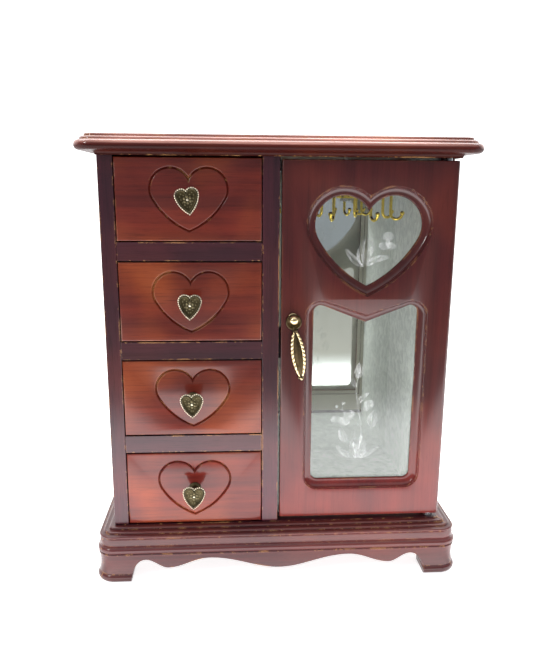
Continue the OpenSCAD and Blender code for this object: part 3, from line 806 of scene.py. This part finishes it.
def drawer_knob(k):
    low, high = cad(f"drawer_{k}_knob")
    x, z, front = (low.x + high.x) / 2, low.z + KNOB_MIDDLE, low.y
    body, rim, relief = Surface(), Surface(), Surface()

    def plate(grow, y):
        return body.upright([(x + px, low.z + pz) for px, pz in knob_outline(grow)], front + y)

    steps = ((-2.0, 3.4), (-1.2, 3.2), (-0.8, 2.6), (-0.8, 2.0), (-1.0, 1.6), (-1.5, 1.5),
             (-1.7, 1.1), (-2.2, 1.3), (-2.7, 1.55))
    body.rings([plate(grow, y) for grow, y in steps])
    body.lathe([(4.9, 0), (4.9, 0.9), (4.3, 1.5), (3.3, 1.9), (2.9, 2.6), (2.7, 7), (3.0, 10), (3.6, 13),
                (4.6, 14.8)], (x, 0, z), OUT)
    for p in spaced(knob_outline(-0.72), 36):
        rim.ball((x + p.x, front + 0.9, low.z + p.y), 0.62, 1.2, axis=OUT, sides=9, rings=6)
    line = spaced(knob_outline(-1.95), RIM_STEPS)
    ring = [Vector((x + p.x, front + 1.0, low.z + p.y)) for p in line]
    loops = []
    for i, p in enumerate(ring):
        ahead = (ring[(i + 1) % RIM_STEPS] - ring[i - 1]).normalized()
        out = ahead.cross(Vector((0, 1, 0)))
        loops.append(relief.loop([
            p + out * 0.3 * cos(t) + Vector((0, -0.7 * sin(t), 0))
            for t in (pi * j / 4 for j in range(8))
        ]))
    for i in range(RIM_STEPS):
        relief.bridge(loops[i], loops[(i + 1) % RIM_STEPS])
    for i in range(6):
        t = radians(30 + 60 * i)
        centre = (x + 2.4 * cos(t), front + 1.45, z + 0.2 + 2.3 * sin(t))
        relief.ball(centre, 1.1, 0.45, axis=OUT, sides=10, rings=6)
    for p in spaced(knob_outline(-4.1), 15):
        relief.ball((x + p.x, front + 1.5, low.z + p.y), 0.6, 0.5, axis=OUT, sides=8, rings=5)
    rim.ball((x, front + 1.25, z + 0.2), 1.05, 0.9, axis=OUT, sides=12, rings=7)
    turn = {1: -9.0, 2: 1.5, 3: -2.0, 4: 3.0}[k]
    for part in (body, rim, relief):
        part.turn(turn, (x, 0, z))
    ride = f"drawer_{k}"
    body.piece(f"knob_{k}_body", old_brass, ride, "old_brass", [f"drawer_{k}_knob"])
    rim.piece(f"knob_{k}_rim", old_brass_rim, ride, "old_brass", sharp=60)
    relief.piece(f"knob_{k}_relief", worn_brass, ride, "old_brass", sharp=60)


def drawer_pad(k):
    """The felt pad in a drawer: a thin slab with soft edges that wells up a little."""
    low, high = cad(f"drawer_{k}_lining")
    surface = Surface()
    steps = ((0.2, 0.0), (0.0, 0.5), (0.15, 1.2), (0.7, 1.75), (2.0, 1.95), (6.0, 2.0))
    loops = []
    for inset, rise in steps:
        outline = box_loop(low.x + inset, high.x - inset, low.y + inset, high.y - inset)
        loops.append(surface.loop([(px, py, low.z + rise) for px, py in outline]))
    surface.rings(loops)
    pad = surface.piece(f"drawer_{k}_pad", grey_felt, f"drawer_{k}", "felt", [f"drawer_{k}_lining"], sharp=50)


for k in (1, 2, 3, 4):
    drawer_front(k)
    drawer_knob(k)
    drawer_pad(k)


# -------- door
OPEN_HALF, HEART_H, BRIDGE, NOTCH = 41.35, 69.0, 28.8, 16.0
DOOR_MID = (DOOR_LOW.x + DOOR_HIGH.x) / 2
HEART_Z = DOOR_HIGH.z - 26.0 - HEART_H
NOTCH_Z = HEART_Z - BRIDGE
LOW_Z = DOOR_LOW.z + 31.2
GLASS_Y = GLASS_LOW.y
DOOR_T = DOOR_HIGH.y


def heart_opening(grow):
    lobe = OPEN_HALF * 0.47
    outline = heart(lobe, OPEN_HALF - lobe, HEART_H, grow, fine=3)
    return [(DOOR_MID + x, HEART_Z + z) for x, z in outline]


def window_opening(grow):
    w, r = OPEN_HALF + grow, 5.5 + grow
    z0, z1, zm = LOW_Z - grow, NOTCH_Z + NOTCH + grow, NOTCH_Z + grow
    a, b, c, d, m = (-w, z0), (w, z0), (w, z1), (-w, z1), (0, zm)
    outline = corner(a, d, b, r) + corner(b, a, c, r) + corner(c, b, m, r) + [m] + corner(d, m, a, r)
    return [(DOOR_MID + x, z) for x, z in outline]


def edge_steps():
    """The moulded edge of an opening, as (how far outside it, depth): a step, an ovolo, a fillet."""
    steps = [(7.4, 0.0), (7.15, 0.08), (7.0, 0.3), (6.85, 0.95), (6.65, 1.2), (6.3, 1.28)]
    for i in range(1, 10):
        t = radians(10 * i)
        steps.append((0.75 + 5.5 * cos(t), 1.28 + 3.9 * sin(t)))
    return steps + [(0.7, 5.35), (0.45, 5.5), (0.1, 5.55), (0.0, 5.7), (0.0, GLASS_Y)]


def door_plan(inset):
    left, right, back = DOOR_LOW.x + inset, DOOR_HIGH.x - inset, DOOR_T - inset
    front_r, nose_r, pivot_r, back_r = 1.2 - inset, 3.5 - inset, 7.0 - inset, 1.0 - inset * 0.9
    points = arc(left + front_r, inset + front_r, front_r, 180, 270, 6)
    points += arc(right - nose_r, inset + nose_r, nose_r, -90, 0, 10)
    points += arc(right - pivot_r, back - pivot_r, pivot_r, 0, 90, 16)
    return points + arc(left + back_r, back - back_r, back_r, 90, 180, 4)


surface = Surface()
z0, z1 = DOOR_LOW.z, DOOR_HIGH.z
levels = ((0.9, z0), (0.45, z0 + 0.1), (0.15, z0 + 0.35), (0.0, z0 + 0.9))
levels += ((0.0, z1 - 0.9), (0.15, z1 - 0.35), (0.45, z1 - 0.1), (0.9, z1))
loops = [surface.loop([(x, y, z) for x, y in door_plan(inset)]) for inset, z in levels]
count = len(loops[0])
# the points of the outline from which the front face and the back face run
front_at, back_at = 6, 6 + 11 + 17
for n, (a, b) in enumerate(zip(loops, loops[1:])):
    for i in range(count):
        if n == 3 and i in (front_at, back_at):
            continue
        j = (i + 1) % count
        surface.faces.append((a[i], a[j], b[j], b[i]))
surface.cap(loops[0])
surface.cap(loops[-1])
steps = edge_steps()
hearts = [surface.upright(heart_opening(grow), y) for grow, y in steps]
windows = [surface.upright(window_opening(grow), y) for grow, y in steps]
surface.rings(hearts, False, False)
surface.rings(windows, False, False)
low_loop, high_loop = loops[3], loops[4]
face = [low_loop[front_at], low_loop[front_at + 1], high_loop[front_at + 1], high_loop[front_at]]
surface.cap(face, [hearts[0], windows[0]])
rebate = box_loop(GLASS_LOW.x - 0.5, GLASS_HIGH.x + 0.5, GLASS_LOW.z - 0.5, GLASS_HIGH.z + 0.5)
ledge = surface.upright(rebate, GLASS_Y)
mouth = surface.upright(rebate, DOOR_T)
surface.bridge(ledge, mouth)
surface.cap(ledge, [hearts[-1], windows[-1]])
back_face = [low_loop[back_at], low_loop[back_at + 1], high_loop[back_at + 1], high_loop[back_at]]
surface.cap(back_face, [mouth])
surface.piece("door_moulded", wood_door, "door", "door_wood", ["door_panel"])


# -------- etched flowers
ETCH_Y = GLASS_Y - 0.06
LAYER = 0.002
etched = Surface()


def leaf(x, z, angle, length, width, y, bend):
    """A pointed leaf from (x, z), towards angle in degrees from straight up, clockwise."""
    right, left = [], []
    for i in range(11):
        s = i / 10
        half = width / 2 * sin(pi * s ** 0.8) ** 0.9 if 0 < s < 1 else 0.0
        swing = radians(angle + bend * s)
        cx, cz = x + length * s * sin(swing), z + length * s * cos(swing)
        nx, nz = cos(swing), -sin(swing)
        right.append((cx + nx * half, cz + nz * half))
        left.append((cx - nx * half, cz - nz * half))
    spine = [((a[0] + b[0]) / 2, (a[1] + b[1]) / 2) for a, b in zip(right, left)]
    for side in (right, left):
        vein = [(s[0] + (e[0] - s[0]) * 0.16, s[1] + (e[1] - s[1]) * 0.16) for s, e in zip(spine, side)]
        outline = side + list(reversed(vein[1:-1]))
        etched.cap(etched.upright(outline, y))


def stem(points, width, y):
    """A curved line of even width through points, from the middle of the window's foot."""
    points = [Vector((DOOR_MID + x, LOW_Z + z)) for x, z in points]
    smooth = []
    for i in range(len(points) - 1):
        a, b = points[max(i - 1, 0)], points[i]
        c, d = points[i + 1], points[min(i + 2, len(points) - 1)]
        for n in range(6):
            t = n / 6
            smooth.append(0.5 * (2 * b + (c - a) * t + (2 * a - 5 * b + 4 * c - d) * t * t
                                 + (3 * b - a - 3 * c + d) * t ** 3))
    smooth.append(points[-1])
    left, right = [], []
    for i, p in enumerate(smooth):
        ahead = (smooth[min(i + 1, len(smooth) - 1)] - smooth[max(i - 1, 0)]).normalized()
        side = Vector((ahead.y, -ahead.x)) * width / 2
        left.append(p - side)
        right.append(p + side)
    etched.bridge(etched.upright(left, y), etched.upright(right, y), closed=False)


def spray(cx, base, leaves, layer):
    """Leaves as (x, z, angle, length, width, bend) from the middle of an opening's foot."""
    for i, (x, z, angle, length, width, bend) in enumerate(leaves):
        leaf(cx + x, base + z, angle, length, width, layer - LAYER * i, bend)


def round_petals(cx, base, petals, layer):
    for i, (x, z, radius) in enumerate(petals):
        outline = arc(cx + x, base + z, radius, 0, 360, 18)[:-1]
        flat = [(px, base + z + (pz - base - z) * 0.8) for px, pz in outline]
        etched.cap(etched.upright(flat, layer - LAYER * i))


stem(((-1.6, 17), (0, 35), (-0.4, 46), (-3.0, 62), (-4.8, 75), (-3.6, 87)), 0.9, ETCH_Y)
spray(DOOR_MID, LOW_Z, (
    (-3.6, 86, -28, 12, 4.4, 26), (-3.6, 86, -4, 14, 4.4, 6), (-3.4, 86, 24, 12, 4.2, -14),
    (-4.6, 78, -38, 11, 4.4, 10), (-3.0, 64, 18, 14, 4.6, 26),
    (6.0, 44, 38, 16, 9.5, -22), (-11.5, 31, -34, 15, 7.5, 10),
    (-2.0, 17, -80, 25, 5.0, 26), (-2.0, 17, -38, 20, 4.6, 20), (-2.0, 17, -12, 26, 4.2, 4),
    (-1.4, 17, 8, 25, 4.2, -4), (-1.2, 17, 32, 18, 4.4, -14), (-1.0, 17, 62, 20, 5.0, -4),
), ETCH_Y - 0.004)
stem(((-0.4, 44), (-6, 50), (-12, 55)), 0.7, ETCH_Y - 0.03)
stem(((-13, 56), (-16, 60), (-15, 65)), 0.5, ETCH_Y - 0.03)
round_petals(DOOR_MID, LOW_Z, (
    (-20.6, 51, 4.6), (-14.3, 49.5, 5.0), (-10.0, 55.5, 4.8), (-20.6, 62.4, 1.5), (-15.0, 65, 1.7),
    (-17.6, 60, 1.1), (6.3, 64, 4.6), (3.6, 60, 2.6),
), ETCH_Y - 0.034)
spray(DOOR_MID, HEART_Z, (
    (-2.6, 15, -66, 21, 5.2, 20), (-3.0, 15, -30, 22, 6.4, 34), (-1.6, 16, 4, 18, 5.6, 22),
    (-9.0, 22, -52, 12, 1.4, 6), (-1.0, 15, 44, 21, 5.6, 26), (1.0, 26, 16, 14, 4.8, -10),
), ETCH_Y - 0.004)
round_petals(DOOR_MID, HEART_Z, (
    (15.4, 38, 4.6), (12.6, 31, 4.0), (18.5, 31, 3.6), (15.8, 33, 2.0),
), ETCH_Y - 0.02)
etched.piece("door_etching", frosted, "door", "clear_glass", solid=False)


# -------- pull
PIN_LOW, PIN_HIGH = cad("pull_pin")
BALL_R = 3.6
PULL_X = (PIN_LOW.x + PIN_HIGH.x) / 2
PULL_Z = (PIN_LOW.z + PIN_HIGH.z) / 2
EYE_BACK, EYE_T, PULL_TILT, EYE_R = -1.6, 2.4, 8.3, 6.2
PULL_REACH, FINIAL = 50, 3.1


def pull_pin():
    surface = Surface()
    seat = (PULL_X, 0, PULL_Z)
    surface.lathe([(4.3, 0.0), (4.34, 0.5), (4.2, 1.2), (3.9, 1.4)], seat, OUT)
    surface.lathe([(1.5, -7.0), (1.5, 4.4)], seat, OUT, 20)
    out = -PIN_LOW.y - BALL_R
    surface.ball((PULL_X, -out, PULL_Z), BALL_R, axis=OUT, sides=28, rings=14)
    surface.lathe([(2.2, out - 3.9), (2.5, out - 3.3), (2.0, out - 2.6)], seat, OUT, 24)
    surface.piece("pull_ball", brass, "door", "bright_brass", ["pull_pin"], sharp=50)


def door_pull():
    """The hanging pull: a dished eye, a collar, a leaf between two twisted ropes, a finial."""
    grip, rope = Surface(), Surface()
    drop = EYE_R * 2 * 0.19
    eye = (PULL_X, EYE_BACK, PULL_Z - drop)
    grip.lathe([(5.0, 0.0), (EYE_R, 0.3), (EYE_R, 1.6), (5.9, 2.2), (5.3, 2.4), (4.7, 2.1),
                (4.3, 1.5), (3.2, 1.2), (1.6, 1.1)], eye, OUT, 40)
    mid_y = EYE_BACK - EYE_T / 2
    top = PULL_Z - drop - EYE_R - 1
    length = PULL_REACH + (top - PULL_Z) - FINIAL
    grip.lathe([(1.6, 3.4), (1.7, 1.6), (2.45, 1.2), (2.5, 0.5), (2.0, 0.1), (1.8, -1.4)],
               (PULL_X, mid_y, top), UP, 24)
    half_w = 4.7

    def spread(s):
        return sin(pi * s) ** 0.75 * (half_w - 1.15) + 0.25

    rows = 40
    loops = []
    for i in range(rows + 1):
        s = i / rows
        z = top - 0.6 - (length - 1.0) * s
        w = spread(s) + 0.4
        ridge = 0.7 + 1.2 * sin(pi * s) ** 0.6
        section = ((-1, 0), (-0.6, -ridge * 0.62), (-0.22, -ridge * 0.86), (0, -ridge),
                   (0.22, -ridge * 0.86), (0.6, -ridge * 0.62), (1, 0), (0.6, 0.9), (-0.6, 0.9))
        loops.append(grip.loop([(PULL_X + px * w, mid_y + py, z) for px, py in section]))
    grip.rings(loops)
    for side in (-1, 1):
        path = []
        for i in range(141):
            s = i / 140
            path.append((PULL_X + side * (spread(s) + 0.45), mid_y - 0.15, top - 0.4 - (length - 0.8) * s))
        rope.tube(
            path, lambda s: 0.75 + 0.55 * sin(pi * s) ** 0.5, 16,
            shape=lambda s, t, side=side: 0.86 + 0.24 * abs(cos(t + side * 11 * pi * s)),
            flat=1.25, start_side=(1, 0, 0),
        )
    foot = (PULL_X, mid_y, top - length - 0.8)
    grip.lathe([(0.6, 2.2), (1.5, 1.6), (2.2, 0.7), (2.2, -0.4), (1.7, -1.4), (0.9, -2.1), (0.3, -2.3)],
               foot, UP, 24)
    for i in range(7):
        t = 2 * pi * i / 7
        centre = (foot[0] + 1.5 * cos(t), foot[1] + 1.5 * sin(t), foot[2] + 0.2)
        rope.ball(centre, 0.85, sides=9, rings=6)
    rope.ball((foot[0], foot[1] - 1.3, foot[2] - 0.5), 1.1, sides=10, rings=6)
    for part in (grip, rope):
        part.turn(-PULL_TILT, (PULL_X, 0, PULL_Z))
    grip.piece("pull_grip", grip_brass, "door_pull", "old_brass", ["door_pull"], sharp=50)
    rope.piece("pull_ropes", brass, "door_pull", "old_brass", sharp=60)


pull_pin()
door_pull()


# -------- compartment
FELT_EASE = 0.35


def soft_slab(surface, low, high):
    """A slab with edges eased by FELT_EASE."""
    (x0, y0, z0), (x1, y1, z1) = low, high
    loops = []
    for inset, y in ((FELT_EASE, y0), (0.0, y0 + FELT_EASE), (0.0, y1 - FELT_EASE), (FELT_EASE, y1)):
        loops.append(surface.upright(box_loop(x0 + inset, x1 - inset, z0 + inset, z1 - inset), y))
    surface.rings(loops)


lining_low = cad("compartment_lining")[0]
catch_high = cad("catch_magnet")[1]
felt_t = cad("mirror")[0].z - BASE_H
panel_x = cad("side_panel_right")[0].x
room_y0 = cad("side_panel_right")[0].y
surface = Surface()
top = CASE_TOP - 0.05
soft_slab(surface, (lining_low.x, catch_high.y, BASE_H), (lining_low.x + felt_t, INNER_BACK, top))
soft_slab(surface, (panel_x - felt_t, room_y0, BASE_H), (panel_x, INNER_BACK, top))
soft_slab(surface, (lining_low.x + felt_t, room_y0, BASE_H), (panel_x - felt_t, INNER_BACK, BASE_H + felt_t))
lining = surface.piece("compartment_felt", grey_felt, "case", "felt", ["compartment_lining"])


HOOK_WIRE, HOOK_BALL, HOOK_BEND, HOOK_DROP = 1.3, 1.95, 5.0, 19.0


def carousel():
    low, high = cad("carousel")
    x, y = (low.x + high.x) / 2, (low.y + high.y) / 2
    spindle = cad("carousel_spindle")[0]
    hub_z = spindle.z + 2.6
    hub, wires = Surface(), Surface()
    profile = [(2.1, 0), (7.4, 0), (8.0, 0.6), (8.0, 3.0), (7.2, 3.6), (7.2, 5.2), (8.0, 5.8), (8.0, 9.2),
               (11.5, 9.8), (16.8, 10.1), (17.6, 10.8), (17.2, 11.6), (15, 12), (2.1, 12)]
    hub.lathe(profile, (x, y, hub_z), UP, 48)
    arm_z = hub_z + 7
    ring_r = ((high.y - low.y) / 2 - HOOK_BALL) / cos(pi / 8) - 2 * HOOK_BEND
    for i in range(8):
        path = [(6, 0), (ring_r - 2.5, 0)]
        path += [(ring_r - 2.5 + 2.5 * sin(t), -2.5 + 2.5 * cos(t)) for t in (0.4, 0.8, 1.2, 1.57)]
        path += [(ring_r, -9), (ring_r, -HOOK_DROP)]
        for n in range(1, 11):
            t = pi * n / 10
            path.append((ring_r + HOOK_BEND * (1 - cos(t)), -HOOK_DROP - HOOK_BEND * sin(t)))
        t = radians((i + 0.5) * 45)
        places = [(x + u * cos(t), y + u * sin(t), arm_z + z) for u, z in path]
        wires.tube(places, HOOK_WIRE, 12, start_side=(-sin(t), cos(t), 0))
        wires.ball(places[-1], HOOK_BALL, sides=14, rings=8)
    hub.piece("carousel_hub", gold, "carousel", "gold_metal", ["carousel"])
    wires.piece("carousel_hooks", gold, "carousel", "gold_metal", sharp=60)


carousel()


# -------- floor, light, camera
def floor():
    """A white floor that glows in front of the chest and is dim far in front of it."""
    look = Look("floor_pale")
    pale = look.mix(look.ramp(look.noise(60), 0.3, 0.7), (0.9, 0.9, 0.9, 1), (0.93, 0.93, 0.93, 1))
    depth = look.axis("Y")
    near = look.ramp(depth, -0.085, -0.12, 0.0, 1.9)
    far = look.ramp(depth, -0.34, -0.54, 0.0, -2.75)
    look.shader(
        Base_Color=look.mix(look.ramp(depth, -0.42, -0.62), pale, (0.31, 0.29, 0.26, 1)),
        Roughness=0.6,
        Emission_Color=(1, 1, 1, 1),
        Emission_Strength=look.plus(look.plus(near, far), 0.85),
    )
    mesh = bpy.data.meshes.new("floor")
    size = 3.0
    mesh.from_pydata([(x, y, 0) for x, y in box_loop(-size, size, -size, size)], [], [(0, 1, 2, 3)])
    mesh.materials.append(look.data)
    placed("floor", mesh)


def sky():
    """A pale room, dimmer in front of the chest than behind it, and brighter overhead."""
    look = Look("room", bpy.data.worlds, "ShaderNodeOutputWorld")
    bpy.context.scene.world = look.data
    way = look.node("ShaderNodeTexCoord").outputs["Generated"]
    height, depth = look.axis("Z", way), look.axis("Y", way)
    front = look.mix(look.ramp(height, 0.35, 0.9), (0.33, 0.34, 0.37, 1), (1.3, 1.32, 1.36, 1))
    back = look.node("ShaderNodeBackground")
    look.put(back.inputs["Color"], look.mix(look.ramp(depth, -0.1, 0.3), front, (1.9, 1.9, 1.9, 1)))
    look.put(look.out.inputs["Surface"], back.outputs[0])


def lamp(name, place, target, size, power, colour=(1, 1, 1)):
    data = bpy.data.lights.new(name, "AREA")
    data.shape = "RECTANGLE"
    data.size, data.size_y = size
    data.energy = power
    data.color = colour
    obj = placed(name, data)
    obj.location = place
    obj.rotation_euler = (Vector(target) - Vector(place)).to_track_quat("-Z", "Y").to_euler()


def camera():
    data = bpy.data.cameras.new("camera")
    data.sensor_width = 36
    data.lens = 36.56
    data.shift_x = -0.0122
    data.shift_y = 0.021
    obj = placed("camera", data)
    yaw, pitch, roll = radians(3.695), radians(13.03), radians(0.397)
    ahead = Vector((sin(yaw) * cos(pitch), cos(yaw) * cos(pitch), -sin(pitch)))
    right = Vector((cos(yaw), -sin(yaw), 0))
    up = right.cross(ahead)
    side = right * cos(roll) + up * sin(roll)
    top = -right * sin(roll) + up * cos(roll)
    turn = Matrix((side, top, -ahead)).transposed().to_4x4()
    obj.matrix_world = Matrix.Translation((-0.0373, -0.5735, 0.316)) @ turn
    bpy.context.scene.camera = obj


floor()
sky()
lamp("window", (-0.8, -0.7, 0.75), (0, 0, 0.2), (0.16, 0.26), 3.4, (1.0, 0.97, 0.94))
lamp("overhead", (0.0, 0.15, 1.0), (0, -0.05, 0.3), (1.5, 0.5), 14)
camera()
bpy.context.scene.view_settings.view_transform = "Standard"
